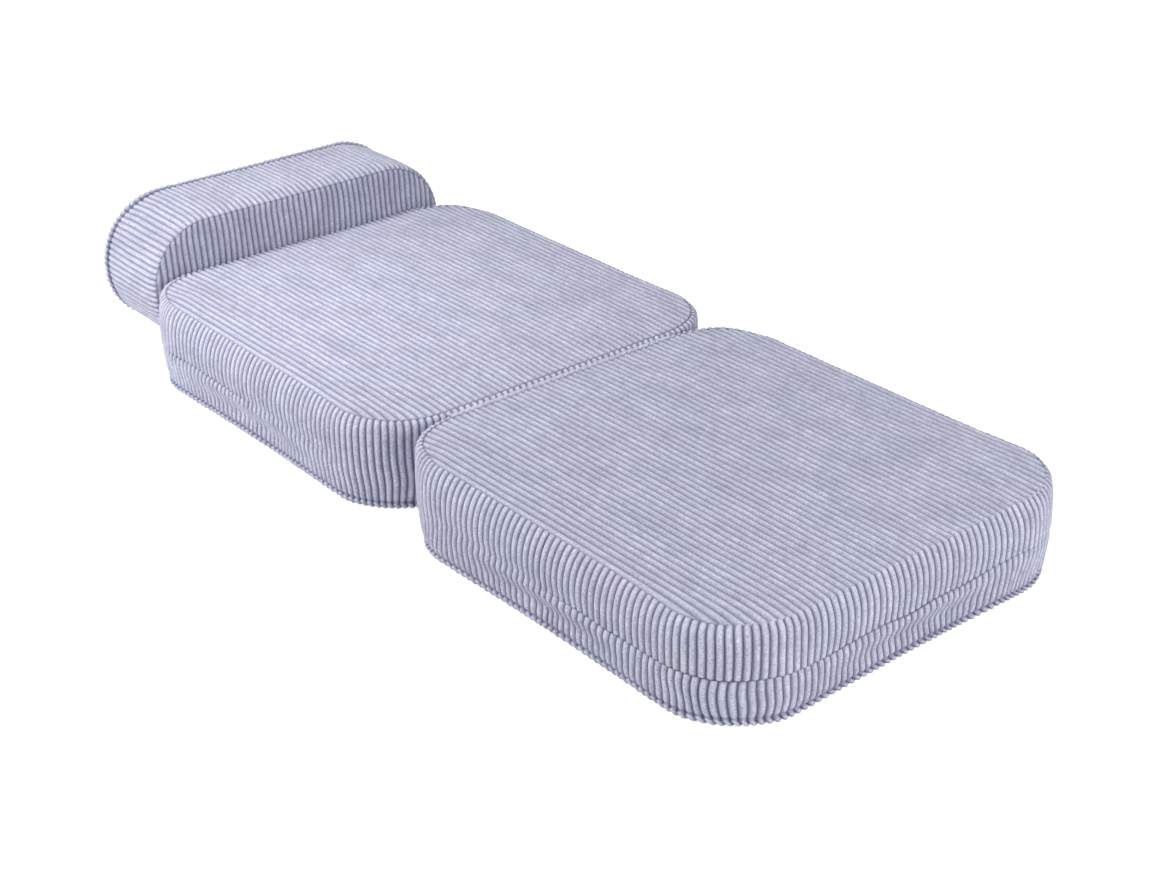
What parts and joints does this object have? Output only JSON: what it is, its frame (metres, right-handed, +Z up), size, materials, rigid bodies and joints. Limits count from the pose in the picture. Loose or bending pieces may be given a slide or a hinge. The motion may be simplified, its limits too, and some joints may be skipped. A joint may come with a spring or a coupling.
{
  "type": "fold-out sleeper chair",
  "caption": "Low fold-out foam chair in wide-wale corduroy, shown open as a bed: two hinged cushions and a hinged bolster.",
  "frame": {"origin": "middle of the footprint of the chair lying open, on the floor", "axes": "+Y from the foot end to the bolster, +X across to the right when looking along +Y, +Z up"},
  "size_m": [0.6, 1.46, 0.208],
  "materials": {
    "corduroy": "matte",
    "base_corduroy": "matte",
    "foam": "matte",
    "wadding": "matte",
    "joint_tape": "matte",
    "zip_tape": "matte",
    "zip_slider": "satin"
  },
  "bodies": {
    "foot_section": {"foot_foam_core": "foam", "foot_wadding_wrap": "wadding", "foot_top_panel": "corduroy", "foot_plain_band": "corduroy", "foot_upper_zip_band": "corduroy", "foot_lower_zip_band": "corduroy", "foot_base_panel": "base_corduroy", "foot_zip_chain": "zip_tape", "foot_fold_tape": "joint_tape"},
    "head_section": {"head_foam_core": "foam", "head_wadding_wrap": "wadding", "head_top_panel": "corduroy", "head_plain_band": "corduroy", "head_upper_zip_band": "corduroy", "head_lower_zip_band": "corduroy", "head_base_panel": "base_corduroy", "head_zip_chain": "zip_tape", "head_fold_tape": "joint_tape", "head_bolster_tape": "joint_tape"},
    "bolster": {"bolster_foam_core": "foam", "bolster_wadding_wrap": "wadding", "bolster_front_panel": "corduroy", "bolster_back_panel": "corduroy", "bolster_gusset": "corduroy", "bolster_base_strip": "corduroy", "bolster_zip_chain": "zip_tape", "bolster_joint_tape": "joint_tape"},
    "foot_slider": {"foot_zip_slider": "zip_slider"},
    "head_slider": {"head_zip_slider": "zip_slider"},
    "bolster_slider": {"bolster_zip_slider": "zip_slider"}
  },
  "joints": [
    {"name": "fold", "type": "hinge", "parent": "foot_section", "child": "head_section", "pos_m": [0, -0.08, 0.134], "axis": [1, 0, 0], "range_deg": [0, 180]},
    {"name": "bolster_swing", "type": "hinge", "parent": "head_section", "child": "bolster", "pos_m": [0, 0.57, -0.0002], "axis": [-1, 0, 0], "range_deg": [0, 180]},
    {"name": "foot_zip", "type": "slide", "parent": "foot_section", "child": "foot_slider", "axis": [0, -1, 0], "range_m": [0, 0.18]},
    {"name": "head_zip", "type": "slide", "parent": "head_section", "child": "head_slider", "axis": [0, 1, 0], "range_m": [0, 0.18]},
    {"name": "bolster_zip", "type": "slide", "parent": "bolster", "child": "bolster_slider", "axis": [1, 0, 0], "range_m": [0, 0.26]}
  ]
}
